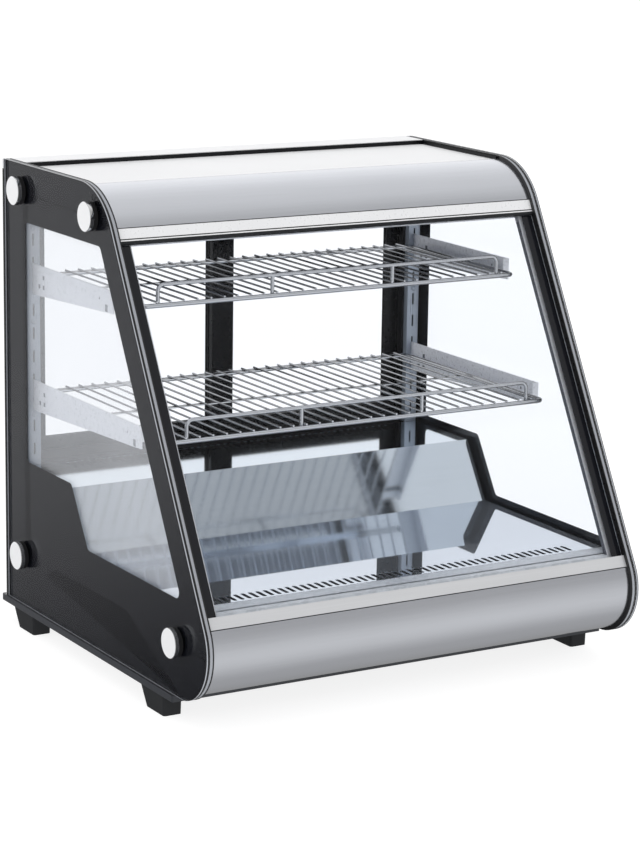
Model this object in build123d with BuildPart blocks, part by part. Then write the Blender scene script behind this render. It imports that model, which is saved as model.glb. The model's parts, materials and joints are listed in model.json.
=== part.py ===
from build123d import *
import os
from math import cos, radians, sin, sqrt, tan

# A refrigerated countertop display case: sloping double glazed front, black printed side
# glass, brushed steel brow and nose covers, two wire shelves and sliding rear doors.
# Millimetres, +Z up, front towards -Y, origin on the ground under the middle of the case.
os.makedirs("parts", exist_ok=True)

# Overall sizes
cabinet_width = 691.2
cabinet_height = 686.0
panel_depth = 624.0
tray_overhang = 11.0
slope_angle = 28.88
nose_radius = 73.0
brow_radius = 106.0
seat_gap = 0.3
sheet = 1.2

# Base tray and feet
foot_height = 28.5
tray_thickness = 9.5
tray_floor = 2.5
tray_lip = 2.1
tray_set_back = 89.2
tray_rim = 30.0
tray_corner = 3.0
tray_flange_height = 22.0
vent_width = 4.0
vent_length = 70.0
vent_pitch = 12.0
vent_count = 9
foot_width = 27.0
foot_length = 52.0
foot_spread = 18.0
foot_corner = 4.0
foot_inset = 0.6
foot_set_in = 2.0
front_foot_set = 118.5
rear_foot_set = 94.4

# Side glass units
pane = 4.0
print_skin = 0.4
side_spacer = 3.6
trim_width = 9.0
trim_wall = 1.5
trim_web = 5.5
spacer_width = 11.7
seal_proud = 2.9
rear_wrap = 5.0

# Windows left clear in the black side print
window_rear = 68.0
window_drop = 83.0
window_border = 48.0
window_corner = 9.0
window_rise = 10.7

# Glass holding caps, set in from the rear, the slope, the nose and the top
cap_radius = 20.5
cap_disc = 6.0
cap_washer = 6.0
cap_bevel = 0.9
cap_stud_radius = 4.0
stud_clearance = 0.3
rear_cap_set = 60.0
brow_cap_set = 49.6
nose_cap_set = 82.8
rear_cap_drop = 38.4
brow_cap_drop = 43.8
low_cap_height = 113.5

# Sloping front glass unit
glass_set_back = 10.4
front_spacer = 8.0
front_spacer_width = 8.0
front_border = 12.3
front_rebate = 10.0
top_border = 4.0
gasket_height = 4.5
gasket_depth = 2.6

# Covers and glass channels
cover_set_back = 5.0
brow_drop = 55.1
brow_overlap = 3.2
cover_return = 12.0
channel_wall = 2.0
channel_height = 12.6
channel_mouth = 1.0
seam_gap = 0.6

# Deck, riser and air shelf
deck_height = 160.0
deck_set_back = 72.0
deck_lip = 17.0
deck_slot_width = 6.0
deck_slot_length = 26.0
deck_slot_pitch = 11.3
deck_slot_count = 51
deck_slot_set = 18.0
tub_thickness = 18.0
riser_foot = 252.0
riser_angle = 32.2
air_shelf_height = 244.0
air_slot_width = 5.0
air_slot_length = 30.0
air_slot_pitch = 11.3
air_slot_count = 49
air_slot_set = 4.7

# Rear frame, doors and pilasters
frame_depth = 43.1
sill_thickness = 12.0
header_drop = 6.0
jamb = 10.1
post_leg = 24.6
post_front = 12.6
track_base = 3.0
track_height = 12.0
track_wall = 1.8
door_thickness = 9.0
door_clearance = 0.4
door_pitch = 13.0
door_stile = 36.0
door_rail = 27.0
door_rebate = 6.0
door_pane = 4.0
door_travel = 300.0
pull_length = 96.0
pull_width = 20.0
pull_depth = 6.0
pull_wall = 1.5
push_fit = 0.1
pilaster_width = 20.0
pilaster_depth = 10.0
pilaster_sheet = 1.5
pilaster_side_gap = 1.0
slot_pitch = 34.0
slot_length = 17.7
slot_width = 3.0
slot_count = 10
top_slot_drop = 45.3
screw_radius = 4.2
screw_height = 1.6

# Shelves and brackets
bracket_sheet = 2.0
bracket_height = 45.0
bracket_nose_height = 31.0
bracket_ledge = 27.0
bracket_ledge_drop = 19.0
bracket_set_back = 44.0
bracket_tab = 9.0
hook_height = 8.0
hook_reach = 3.5
shelf_side_gap = 22.3
shelf_rod = 3.2
shelf_corner = 9.0
shelf_rear_gap = 18.0
wire_radius = 1.4
wire_gaps = 29
wire_sink = 0.3
strip_width = 10.0
strip_set_back = 12.0
strip_sheet = 1.5
guard_rod = 2.7
guard_height = 27.5
guard_corner = 9.0
guard_step = 9
upper_shelf_set_back = 51.6
lower_shelf_set_back = 60.5
upper_shelf_slot = 1
lower_shelf_slot = 6

# Top panel, ceiling and light
top_sheet = 2.5
rim_width = 3.0
rim_depth = 6.0
top_set = 6.5
rear_band = 53.0
ceiling_drop = 66.0
light_width = 22.0
light_height = 9.0
diffuser_thickness = 3.0
light_set = 26.0

# Refrigeration
coil_length = 330.0
coil_depth = 62.0
coil_height = 54.0
fin_pitch = 9.0
fin_groove = 4.0
fan_radius = 33.0
fan_hub_radius = 11.0
fan_bay = 82.5
fan_hub_length = 14.0
fan_hub_gap = 0.8
fan_blades = 5
fan_blade_sheet = 1.4
fan_root_radius = 8.8
fan_root_angle = 41.6
fan_root_chord = 9.9
fan_tip_angle = 22.4
fan_tip_chord = 19.8
fan_motor_radius = 17.0
fan_motor_length = 24.0
shaft_radius = 2.5
shaft_clearance = 0.05
compressor_radius = 52.0
compressor_height = 82.0
compressor_dome = 26.0
compressor_plate_length = 156.0
compressor_plate_width = 114.4
compressor_plate_corner = 4.0
bolt_spacing = 135.2
bolt_row_spacing = 93.6
bolt_radius = 4.0
bolt_height = 8.0
weld_share = 0.6
weld_bead = 2.0
foot_plate = 2.5
condenser_length = 210.0
condenser_depth = 40.0
condenser_fan_space = 8.0

# Service panel and controls
panel_bottom = 6.0
louvre_length = 120.0
louvre_height = 4.5
louvre_pitch = 12.0
louvre_rows = 9
bezel_width = 76.0
bezel_height = 34.0
bezel_proud = 2.4
bezel_back = 14.0
bezel_border = 3.0
bezel_corner = 4.0
display_margin = 6.0
key_gap = 2.5
display_width = 34.0
display_height = 16.0
key_width = 7.0
key_height = 5.0
key_travel = 0.8
key_proud = 1.4
rocker_width = 12.0
rocker_height = 20.0
rocker_angle = 9.0
rocker_border = 4.0
rocker_end_gap = 1.1
rocker_dish = 0.6
rocker_pivot_depth = 3.0
rocker_pin_radius = 1.2
rocker_pin_length = 0.9
gland_radius = 11.0
gland_bore = 4.2
gland_neck = 8.8
gland_set_in = 33.0
gland_rise = 24.2
gland_length = 14.0

# Named levels and planes worked out from the sizes above
half_depth = (panel_depth + tray_overhang) / 2
rear = half_depth - tray_overhang
front = rear - panel_depth
side_x = cabinet_width / 2
print_x = side_x - pane
spacer_x = print_x - print_skin
inner_x = spacer_x - side_spacer
liner_x = inner_x - pane
brow_bottom = cabinet_height - brow_drop
ceiling_height = cabinet_height - ceiling_drop
span = liner_x - seat_gap
tray_top = foot_height + tray_thickness
floor_top = foot_height + tray_floor
pane_bottom = tray_top + seat_gap
glass_rear = rear - rear_wrap - seat_gap
slope_cos = cos(radians(slope_angle))
slope_sin = sin(radians(slope_angle))
slope_tan = tan(radians(slope_angle))
nose_centre = (front + nose_radius, pane_bottom + nose_radius)


def slope_y(height):
    """Where the sloping edge of the side glass lies at a height"""
    tangent_y = nose_centre[0] - nose_radius * slope_cos
    tangent_z = nose_centre[1] + nose_radius * slope_sin
    return tangent_y + (height - tangent_z) * slope_tan


def behind(height, depth):
    """Side view point square behind the slope, level with the slope at a height"""
    return (slope_y(height) + depth * slope_cos, height - depth * slope_sin)


def level_y(height, depth):
    """Where a plane that lies square behind the slope crosses a level"""
    return slope_y(height) + depth / slope_cos


def slope_block(low, high, near, far):
    """Side view corners of a bar that lies along the slope"""
    return [behind(low, near), behind(high, near), behind(high, far), behind(low, far)]


def outline(inset):
    """Side view of the cabinet, drawn in from the edge of the side glass"""
    with BuildSketch() as shape:
        with BuildLine():
            Polyline(
                (glass_rear, pane_bottom),
                (glass_rear, cabinet_height),
                (slope_y(cabinet_height), cabinet_height),
                (slope_y(pane_bottom), pane_bottom),
                close=True,
            )
        make_face()
        fillet(shape.vertices().sort_by(Axis.X)[0], nose_radius)
        fillet(shape.vertices().group_by(Axis.Y)[-1].sort_by(Axis.X)[0], brow_radius)
        if inset:
            offset(amount=-inset)
    return shape.sketch


def window():
    """Clear window left in the print on a side glass"""
    ledge = air_shelf_height + window_rise
    sill = deck_height + window_rise
    foot_y = rear - riser_foot - window_rise
    top = cabinet_height - window_drop
    border = window_border / slope_cos
    rear_y = rear - window_rear
    with BuildSketch() as shape:
        with BuildLine():
            Polyline(
                (rear_y, ledge),
                (rear_y, top),
                (slope_y(top) + border, top),
                (slope_y(sill) + border, sill),
                (foot_y - window_rise / 2, sill),
                (foot_y - window_rise / 2 + (ledge - sill) * tan(radians(riser_angle)), ledge),
                close=True,
            )
        make_face()
        fillet(shape.vertices(), window_corner)
    return shape.sketch


glass_outline = outline(0)
trim_groove_outline = outline(trim_web - pane / 2)
seal_outer_outline = outline(trim_wall / 2)
trim_inner_outline = outline(trim_width)
pane_outline = outline(trim_width + seat_gap)
spacer_inner_outline = outline(trim_width + seat_gap + spacer_width)
cover_outline = outline(cover_set_back)
cover_lining = outline(cover_set_back + sheet)
window_outline = window()
brow_cap_height = cabinet_height - brow_cap_drop
cap_centres = [
    (rear - rear_cap_set, cabinet_height - rear_cap_drop),
    (slope_y(brow_cap_height) + brow_cap_set, brow_cap_height),
    (rear - rear_cap_set, low_cap_height),
    (front + nose_cap_set, low_cap_height),
]

# Base tray: a steel pan whose edge stands proud of the side glass and at the rear
tray_half = side_x + tray_lip
tray_front = front + tray_set_back
tray_length = half_depth - tray_front
tray_middle = half_depth - tray_length / 2
with BuildPart() as base_tray:
    with BuildSketch(Plane.XY.offset(foot_height)):
        with Locations((0, tray_middle)):
            RectangleRounded(2 * tray_half, tray_length, tray_corner)
    extrude(amount=tray_thickness)
    with BuildSketch(Plane.XY.offset(floor_top)):
        with Locations((0, tray_middle)):
            Rectangle(2 * (tray_half - tray_rim), tray_length - 2 * tray_rim)
    extrude(amount=tray_thickness, mode=Mode.SUBTRACT)
    with BuildSketch(Plane.XY.offset(tray_top)):
        with Locations((0, tray_front + sheet / 2)):
            Rectangle(2 * span, sheet)
    extrude(amount=tray_flange_height)
    with BuildSketch(Plane.XY.offset(foot_height)):
        with Locations((-span / 2, tray_middle)):
            with GridLocations(0, vent_pitch, 1, vent_count):
                SlotOverall(vent_length, vent_width)
    extrude(amount=tray_thickness, mode=Mode.SUBTRACT)
base_tray.part.label = "base_tray"
export_step(base_tray.part, "parts/base_tray.step")

# Feet: four tapered rubber blocks under the tray rim
foot_x = tray_half - foot_inset - foot_width / 2 - foot_set_in
foot_top_length = foot_length + foot_spread
with BuildPart() as feet:
    for foot_front in (front + front_foot_set, rear - rear_foot_set):
        for side in (-1, 1):
            with BuildSketch():
                with Locations((side * foot_x, foot_front + foot_length / 2)):
                    RectangleRounded(foot_width, foot_length, foot_corner)
            with BuildSketch(Plane.XY.offset(foot_height)):
                with Locations((side * foot_x, foot_front + foot_top_length / 2 - foot_inset)):
                    RectangleRounded(foot_width + 2 * foot_inset, foot_top_length, foot_corner)
            loft()
feet.part.label = "feet"
export_step(feet.part, "parts/feet.step")

# Outer side glass, drilled for the caps
for name, side in (("left", -1), ("right", 1)):
    with BuildPart() as side_glass:
        with BuildSketch(Plane.YZ.offset(side * print_x)):
            add(glass_outline)
            with Locations(*cap_centres):
                Circle(cap_stud_radius + stud_clearance, mode=Mode.SUBTRACT)
        extrude(amount=side * pane)
    side_glass.part.label = f"{name}_side_glass"
    export_step(side_glass.part, f"parts/{name}_side_glass.step")

# Black ceramic print on the inner face of each outer glass
with BuildPart() as side_prints:
    for side in (-1, 1):
        with BuildSketch(Plane.YZ.offset(side * spacer_x)):
            add(glass_outline)
            add(window_outline, mode=Mode.SUBTRACT)
            with Locations(*cap_centres):
                Circle(cap_stud_radius + stud_clearance, mode=Mode.SUBTRACT)
        extrude(amount=side * print_skin)
side_prints.part.label = "side_glass_prints"
export_step(side_prints.part, "parts/side_glass_prints.step")

# Inner side panes
with BuildPart() as side_inner_glass:
    for side in (-1, 1):
        with BuildSketch(Plane.YZ.offset(side * liner_x)):
            add(pane_outline)
            with Locations(*cap_centres):
                Circle(cap_stud_radius + stud_clearance, mode=Mode.SUBTRACT)
        extrude(amount=side * pane)
side_inner_glass.part.label = "side_inner_glass"
export_step(side_inner_glass.part, "parts/side_inner_glass.step")

# Aluminium edge trim round each side unit: a channel open outwards
trim_thickness = spacer_x - liner_x
with BuildPart() as edge_trims:
    for side in (-1, 1):
        with BuildSketch(Plane.YZ.offset(side * liner_x)):
            add(glass_outline)
            add(trim_inner_outline, mode=Mode.SUBTRACT)
        extrude(amount=side * trim_thickness)
        with BuildSketch(Plane.YZ.offset(side * (liner_x + trim_wall))):
            add(glass_outline)
            add(trim_groove_outline, mode=Mode.SUBTRACT)
        extrude(amount=side * (trim_thickness - 2 * trim_wall), mode=Mode.SUBTRACT)
edge_trims.part.label = "edge_trims"
export_step(edge_trims.part, "parts/edge_trims.step")

# Rubber seal that fills the trim channel
with BuildPart() as edge_seals:
    for side in (-1, 1):
        with BuildSketch(Plane.YZ.offset(side * (liner_x + trim_wall))):
            add(seal_outer_outline)
            add(trim_groove_outline, mode=Mode.SUBTRACT)
        extrude(amount=side * (trim_thickness - 2 * trim_wall))
edge_seals.part.label = "edge_seals"
export_step(edge_seals.part, "parts/edge_seals.step")

# Washers under the caps
with BuildPart() as cap_washers:
    for side in (-1, 1):
        with BuildSketch(Plane.YZ.offset(side * side_x)):
            with Locations(*cap_centres):
                Circle(cap_radius - cap_bevel / 2)
                Circle(cap_stud_radius + stud_clearance, mode=Mode.SUBTRACT)
        extrude(amount=side * cap_washer)
cap_washers.part.label = "cap_washers"
export_step(cap_washers.part, "parts/cap_washers.step")

# Chrome caps, each turned in one piece with its stud
cap_x = side_x + cap_washer
stud_length = cap_x - liner_x
with BuildPart() as cap_discs:
    for side in (-1, 1):
        for cap_y, cap_z in cap_centres:
            cap_plane = Plane(origin=(side * cap_x, cap_y, cap_z), x_dir=(0, 1, 0), z_dir=(side, 0, 0))
            with BuildSketch(cap_plane):
                Circle(cap_radius)
            extrude(amount=cap_disc)
            with BuildSketch(cap_plane):
                Circle(cap_stud_radius)
            extrude(amount=-stud_length)
    for side in (-1, 1):
        rims = cap_discs.edges().filter_by(GeomType.CIRCLE).group_by(Axis.X)[0 if side < 0 else -1]
        chamfer(rims, cap_bevel)
cap_discs.part.label = "cap_discs"
export_step(cap_discs.part, "parts/cap_discs.step")

# Sloping front glass: outer pane, black border, spacer and inner pane
glass_low = deck_height - front_rebate
glass_high = brow_bottom - channel_wall
outer_pane_back = glass_set_back + pane
inner_pane_front = outer_pane_back + front_spacer
inner_pane_back = inner_pane_front + pane
with BuildPart() as front_glass:
    with BuildSketch(Plane.YZ):
        Polygon(*slope_block(glass_low, glass_high, glass_set_back, outer_pane_back), align=None)
    extrude(amount=span, both=True)
front_glass.part.label = "front_glass"
export_step(front_glass.part, "parts/front_glass.step")

with BuildPart() as front_inner_glass:
    with BuildSketch(Plane.YZ):
        Polygon(*slope_block(glass_low, glass_high, inner_pane_front, inner_pane_back), align=None)
    extrude(amount=span, both=True)
front_inner_glass.part.label = "front_inner_glass"
export_step(front_inner_glass.part, "parts/front_inner_glass.step")

print_back = outer_pane_back + print_skin
channel_top = brow_bottom - seam_gap
channel_low = channel_top - channel_height
print_low = channel_low - gasket_height - top_border
with BuildPart() as front_glass_print:
    for side in (-1, 1):
        with BuildSketch(Plane.YZ.offset(side * (span - front_border))):
            Polygon(*slope_block(glass_low, glass_high, outer_pane_back, print_back), align=None)
        extrude(amount=side * front_border)
    with BuildSketch(Plane.YZ):
        Polygon(*slope_block(print_low, glass_high, outer_pane_back, print_back), align=None)
    extrude(amount=span, both=True)
front_glass_print.part.label = "front_glass_print"
export_step(front_glass_print.part, "parts/front_glass_print.step")

# Aluminium spacer frames between the panes of the front and side units
spacer_outer = span - front_border
spacer_bottom_block = slope_block(glass_low, glass_low + front_spacer_width, print_back, inner_pane_front)
spacer_top_block = slope_block(
    print_low, print_low + front_spacer_width, print_back, inner_pane_front
)
with BuildPart() as glass_spacers:
    for side in (-1, 1):
        with BuildSketch(Plane.YZ.offset(side * inner_x)):
            add(pane_outline)
            add(spacer_inner_outline, mode=Mode.SUBTRACT)
        extrude(amount=side * side_spacer)
        with BuildSketch(Plane.YZ.offset(side * (spacer_outer - front_spacer_width))):
            Polygon(*slope_block(glass_low, glass_high, print_back, inner_pane_front), align=None)
        extrude(amount=side * front_spacer_width)
    for corners in (spacer_bottom_block, spacer_top_block):
        with BuildSketch(Plane.YZ):
            Polygon(*corners, align=None)
        extrude(amount=spacer_outer, both=True)
glass_spacers.part.label = "glass_spacers"
export_step(glass_spacers.part, "parts/glass_spacers.step")

# Gasket lip under the upper glass channel
with BuildPart() as glass_gasket:
    with BuildSketch(Plane.YZ):
        gasket_front = glass_set_back - gasket_depth
        Polygon(*slope_block(channel_low - gasket_height, channel_low, gasket_front, glass_set_back), align=None)
    extrude(amount=span, both=True)
glass_gasket.part.label = "glass_gasket"
export_step(glass_gasket.part, "parts/glass_gasket.step")

# Upper and lower glass channels: light aluminium extrusions that grip the front glass
channel_back = inner_pane_back + seat_gap + channel_wall
channel_front_back = glass_set_back - seat_gap
with BuildPart() as upper_glass_channel:
    with BuildSketch(Plane.YZ):
        Polygon(*slope_block(channel_low, channel_top, cover_set_back, channel_back), align=None)
        Polygon(
            *slope_block(
                channel_low - channel_mouth, glass_high + seat_gap, channel_front_back, channel_back - channel_wall
            ),
            align=None,
            mode=Mode.SUBTRACT,
        )
    extrude(amount=span, both=True)
upper_glass_channel.part.label = "upper_glass_channel"
export_step(upper_glass_channel.part, "parts/upper_glass_channel.step")

sill_band_top = deck_height
sill_band_low = sill_band_top - channel_height - channel_wall
with BuildPart() as lower_glass_channel:
    with BuildSketch(Plane.YZ):
        Polygon(*slope_block(sill_band_low, sill_band_top, cover_set_back, channel_back), align=None)
        Polygon(
            *slope_block(
                glass_low - seat_gap, sill_band_top + channel_mouth, channel_front_back, channel_back - channel_wall
            ),
            align=None,
            mode=Mode.SUBTRACT,
        )
    extrude(amount=span, both=True)
lower_glass_channel.part.label = "lower_glass_channel"
export_step(lower_glass_channel.part, "parts/lower_glass_channel.step")

# Brow cover: curved steel sheet over the top front corner, with folded edges
brow_rear = slope_y(cabinet_height) + brow_radius * tan(radians(45 - slope_angle / 2)) - brow_overlap
brow_return = behind(brow_bottom, cover_set_back + cover_return)
with BuildPart() as upper_cover:
    with BuildSketch(Plane.YZ):
        add(cover_outline)
        add(cover_lining, mode=Mode.SUBTRACT)
        Polygon(
            behind(brow_bottom, -cover_return),
            brow_return,
            (brow_rear, brow_bottom),
            (brow_rear, cabinet_height + cover_return),
            (slope_y(brow_bottom), cabinet_height + cover_return),
            align=None,
            mode=Mode.INTERSECT,
        )
    extrude(amount=span, both=True)
    with BuildSketch(Plane.YZ):
        Polygon(
            *slope_block(brow_bottom, brow_bottom + sheet, cover_set_back, cover_set_back + cover_return),
            align=None,
        )
        with Locations((brow_rear, cabinet_height - cover_set_back)):
            Rectangle(sheet, cover_return, align=(Align.MAX, Align.MAX))
    extrude(amount=span, both=True)
upper_cover.part.label = "upper_cover"
export_step(upper_cover.part, "parts/upper_cover.step")

# Nose cover: curved steel sheet round the bottom front corner
nose_top = sill_band_low - seam_gap
nose_rear = tray_front - seat_gap
with BuildPart() as lower_cover:
    with BuildSketch(Plane.YZ):
        add(cover_outline)
        add(cover_lining, mode=Mode.SUBTRACT)
        Polygon(
            behind(nose_top, -cover_return),
            behind(nose_top, cover_set_back + cover_return),
            (nose_rear, nose_centre[1]),
            (nose_rear, tray_top),
            (front - cover_return, tray_top),
            align=None,
            mode=Mode.INTERSECT,
        )
    extrude(amount=span, both=True)
    with BuildSketch(Plane.YZ):
        Polygon(
            *slope_block(nose_top - sheet, nose_top, cover_set_back, cover_set_back + cover_return),
            align=None,
        )
        with Locations((nose_rear, pane_bottom + cover_set_back)):
            Rectangle(sheet, cover_return, align=(Align.MAX, Align.MIN))
    extrude(amount=span, both=True)
lower_cover.part.label = "lower_cover"
export_step(lower_cover.part, "parts/lower_cover.step")

# Rear frame: posts, header and sill, each a separate folded profile
post_x = liner_x - jamb
sill_top = air_shelf_height
sill_bottom = sill_top - sill_thickness
header_top = cabinet_height - header_drop
header_bottom = ceiling_height
header_height = header_top - header_bottom
jamb_y = rear - frame_depth + post_front
frame_front = rear - frame_depth
band_front = rear - rear_band
with BuildPart() as rear_frame:
    for side in (-1, 1):
        with BuildSketch(Plane.XY.offset(pane_bottom)):
            Polygon(
                (side * (liner_x - post_leg), frame_front),
                (side * span, frame_front),
                (side * span, glass_rear + seat_gap),
                (side * side_x, glass_rear + seat_gap),
                (side * side_x, rear),
                (side * post_x, rear),
                (side * post_x, jamb_y),
                (side * (liner_x - post_leg), jamb_y),
                align=None,
            )
        extrude(amount=header_top - pane_bottom)
        with BuildSketch(Plane.XY.offset(header_top)):
            with Locations((side * side_x, rear)):
                corner_align = (Align.MIN if side < 0 else Align.MAX, Align.MAX)
                Rectangle(side_x - liner_x, rear_wrap, align=corner_align)
        extrude(amount=header_drop)
    for low, thickness in ((sill_bottom, sill_thickness), (header_bottom, header_height)):
        with BuildSketch(Plane.XY.offset(low)):
            if low == header_bottom:
                with Locations((0, (band_front + frame_front - seat_gap) / 2)):
                    Rectangle(2 * span, frame_front - seat_gap - band_front)
            with Locations((0, (band_front + rear) / 2)):
                Rectangle(2 * (liner_x - post_leg - seat_gap), rear - band_front)
            with Locations((0, (jamb_y + seat_gap + rear) / 2)):
                Rectangle(2 * (post_x - seat_gap), rear - jamb_y - seat_gap)
        extrude(amount=thickness)
rear_frame.part.label = "rear_frame"
export_step(rear_frame.part, "parts/rear_frame.step")

# Door tracks: two running grooves above and below
track_front = jamb_y + seat_gap
inner_door_y = track_front + track_wall + door_clearance
outer_door_y = inner_door_y + door_pitch
groove_width = door_thickness + 2 * door_clearance
track_rear = outer_door_y + door_thickness + door_clearance + track_wall
track_half = post_x - seat_gap
door_low = sill_top + track_base + seat_gap
door_high = header_bottom - track_base - track_height / 2
with BuildPart() as door_tracks:
    for base_z, direction in ((sill_top, 1), (header_bottom, -1)):
        with BuildSketch(Plane.XY.offset(base_z)):
            with Locations((0, (track_front + track_rear) / 2)):
                Rectangle(2 * track_half, track_rear - track_front)
        extrude(amount=direction * track_height)
        for door_y in (inner_door_y, outer_door_y):
            with BuildSketch(Plane.XY.offset(base_z + direction * track_base)):
                with Locations((0, door_y + door_thickness / 2)):
                    Rectangle(2 * track_half, groove_width)
            extrude(amount=direction * track_height, mode=Mode.SUBTRACT)
door_tracks.part.label = "door_tracks"
export_step(door_tracks.part, "parts/door_tracks.step")

# Sliding doors: two stiles, two rails, a pane and a flush pull each
door_outer_edge = track_half
door_inner_edge = door_stile / 2
door_width = door_outer_edge + door_inner_edge
door_height = door_high - door_low
door_middle_z = (door_low + door_high) / 2
for name, side, door_y in (("left", -1, outer_door_y), ("right", 1, inner_door_y)):
    door_middle = side * (door_outer_edge - door_inner_edge) / 2
    door_plane = Plane(origin=(door_middle, door_y, door_middle_z), x_dir=(1, 0, 0), z_dir=(0, -1, 0))
    door_back = door_plane.offset(-door_thickness)
    stile_x = (door_width - door_stile) / 2
    rail_z = (door_height - door_rail) / 2
    rail_length = door_width - 2 * door_stile - 2 * seat_gap
    pull_x = side * stile_x
    with BuildPart() as door_frame:
        with BuildSketch(door_plane):
            with Locations((-stile_x, 0), (stile_x, 0)):
                Rectangle(door_stile, door_height)
            with Locations((0, -rail_z), (0, rail_z)):
                Rectangle(rail_length, door_rail)
        extrude(amount=-door_thickness)
        with BuildSketch(door_plane.offset(-(door_thickness - door_pane) / 2)):
            Rectangle(
                door_width - 2 * (door_stile - door_rebate) + 2 * seat_gap,
                door_height - 2 * (door_rail - door_rebate) + 2 * seat_gap,
            )
        extrude(amount=-door_pane, mode=Mode.SUBTRACT)
        with BuildSketch(door_back):
            with Locations((pull_x, 0)):
                RectangleRounded(pull_width, pull_length, pull_width / 4)
        extrude(amount=pull_depth, mode=Mode.SUBTRACT)
    door_frame.part.label = f"{name}_door_frame"
    export_step(door_frame.part, f"parts/{name}_door_frame.step")

    with BuildPart() as door_glass:
        with BuildSketch(door_plane.offset(-(door_thickness - door_pane) / 2)):
            Rectangle(
                door_width - 2 * (door_stile - door_rebate),
                door_height - 2 * (door_rail - door_rebate),
            )
        extrude(amount=-door_pane)
    door_glass.part.label = f"{name}_door_glass"
    export_step(door_glass.part, f"parts/{name}_door_glass.step")

    with BuildPart() as door_pull:
        with BuildSketch(door_back):
            with Locations((pull_x, 0)):
                RectangleRounded(pull_width - 2 * push_fit, pull_length - 2 * push_fit, pull_width / 4)
        extrude(amount=pull_depth)
        with BuildSketch(door_back):
            with Locations((pull_x, 0)):
                RectangleRounded(
                    pull_width - 2 * pull_wall, pull_length - 2 * pull_wall, pull_width / 4 - pull_wall
                )
        extrude(amount=pull_depth - pull_wall, mode=Mode.SUBTRACT)
    door_pull.part.label = f"{name}_door_pull"
    export_step(door_pull.part, f"parts/{name}_door_pull.step")

# Slotted pilasters that carry the shelf brackets
pilaster_face = frame_front - pilaster_depth
pilaster_low = air_shelf_height + seat_gap
pilaster_high = ceiling_height - seat_gap
pilaster_centre = span - pilaster_side_gap - pilaster_width / 2
top_slot = ceiling_height - top_slot_drop
slot_heights = [top_slot - index * slot_pitch for index in range(slot_count)]
screw_heights = [slot_heights[index] + slot_pitch / 2 for index in (0, 4, 8)]
with BuildPart() as pilasters:
    for side in (-1, 1):
        with BuildSketch(Plane.XY.offset(pilaster_low)):
            with Locations((side * pilaster_centre, pilaster_face)):
                Rectangle(pilaster_width, pilaster_depth, align=(Align.CENTER, Align.MIN))
            with Locations((side * pilaster_centre, pilaster_face + pilaster_sheet)):
                Rectangle(
                    pilaster_width - 2 * pilaster_sheet,
                    pilaster_depth,
                    align=(Align.CENTER, Align.MIN),
                    mode=Mode.SUBTRACT,
                )
        extrude(amount=pilaster_high - pilaster_low)
        with BuildSketch(Plane.XZ.offset(-pilaster_face)):
            for slot_z in slot_heights:
                with Locations((side * pilaster_centre, slot_z)):
                    Rectangle(slot_width, slot_length)
        extrude(amount=-pilaster_sheet, mode=Mode.SUBTRACT)
pilasters.part.label = "pilasters"
export_step(pilasters.part, "parts/pilasters.step")

# Pan head screws that hold the pilasters
with BuildPart() as pilaster_screws:
    for side in (-1, 1):
        for screw_z in screw_heights:
            screw_plane = Plane(
                origin=(side * pilaster_centre, pilaster_face, screw_z), x_dir=(1, 0, 0), z_dir=(0, -1, 0)
            )
            with BuildSketch(screw_plane):
                Circle(screw_radius)
            with BuildSketch(screw_plane.offset(screw_height)):
                Circle(screw_radius / 2)
            loft()
pilaster_screws.part.label = "pilaster_screws"
export_step(pilaster_screws.part, "parts/pilaster_screws.step")

# Shelf brackets: folded plates with two hooks, a ledge and an upturned tab at the nose
shelf_half_width = pilaster_centre - shelf_side_gap
upper_rail = slot_heights[upper_shelf_slot] - bracket_ledge_drop + seat_gap + shelf_rod
lower_rail = slot_heights[lower_shelf_slot] - bracket_ledge_drop + seat_gap + shelf_rod
upper_rail_front = slope_y(upper_rail) + upper_shelf_set_back
lower_rail_front = slope_y(lower_rail) + lower_shelf_set_back
with BuildPart() as shelf_brackets:
    for rail_front, slot_index in ((upper_rail_front, upper_shelf_slot), (lower_rail_front, lower_shelf_slot)):
        bracket_top = slot_heights[slot_index]
        bracket_rear = pilaster_face - seat_gap
        bracket_front = rail_front + bracket_set_back
        ledge_z = bracket_top - bracket_ledge_drop
        for side in (-1, 1):
            plate_x = side * (pilaster_centre - bracket_sheet / 2)
            with BuildSketch(Plane.YZ.offset(plate_x)):
                Polygon(
                    (bracket_rear, bracket_top),
                    (bracket_front, bracket_top),
                    (bracket_front, bracket_top - bracket_nose_height),
                    (bracket_rear, bracket_top - bracket_height),
                    align=None,
                )
                for hook_top in (bracket_top, bracket_top - slot_pitch):
                    with Locations((bracket_rear, hook_top)):
                        Rectangle(seat_gap + hook_reach, hook_height, align=(Align.MIN, Align.MAX))
            extrude(amount=side * bracket_sheet)
            with BuildSketch(Plane.XY.offset(ledge_z - bracket_sheet)):
                with Locations((side * pilaster_centre, bracket_rear)):
                    ledge_align = (Align.MIN if side < 0 else Align.MAX, Align.MAX)
                    Rectangle(bracket_ledge, bracket_rear - bracket_front, align=ledge_align)
            extrude(amount=bracket_sheet)
            with BuildSketch(Plane.XY.offset(ledge_z)):
                with Locations((side * pilaster_centre, bracket_front)):
                    tab_align = (Align.MIN if side < 0 else Align.MAX, Align.MIN)
                    Rectangle(bracket_tab, bracket_sheet, align=tab_align)
            extrude(amount=bracket_ledge_drop)
shelf_brackets.part.label = "shelf_brackets"
export_step(shelf_brackets.part, "parts/shelf_brackets.step")

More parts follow.
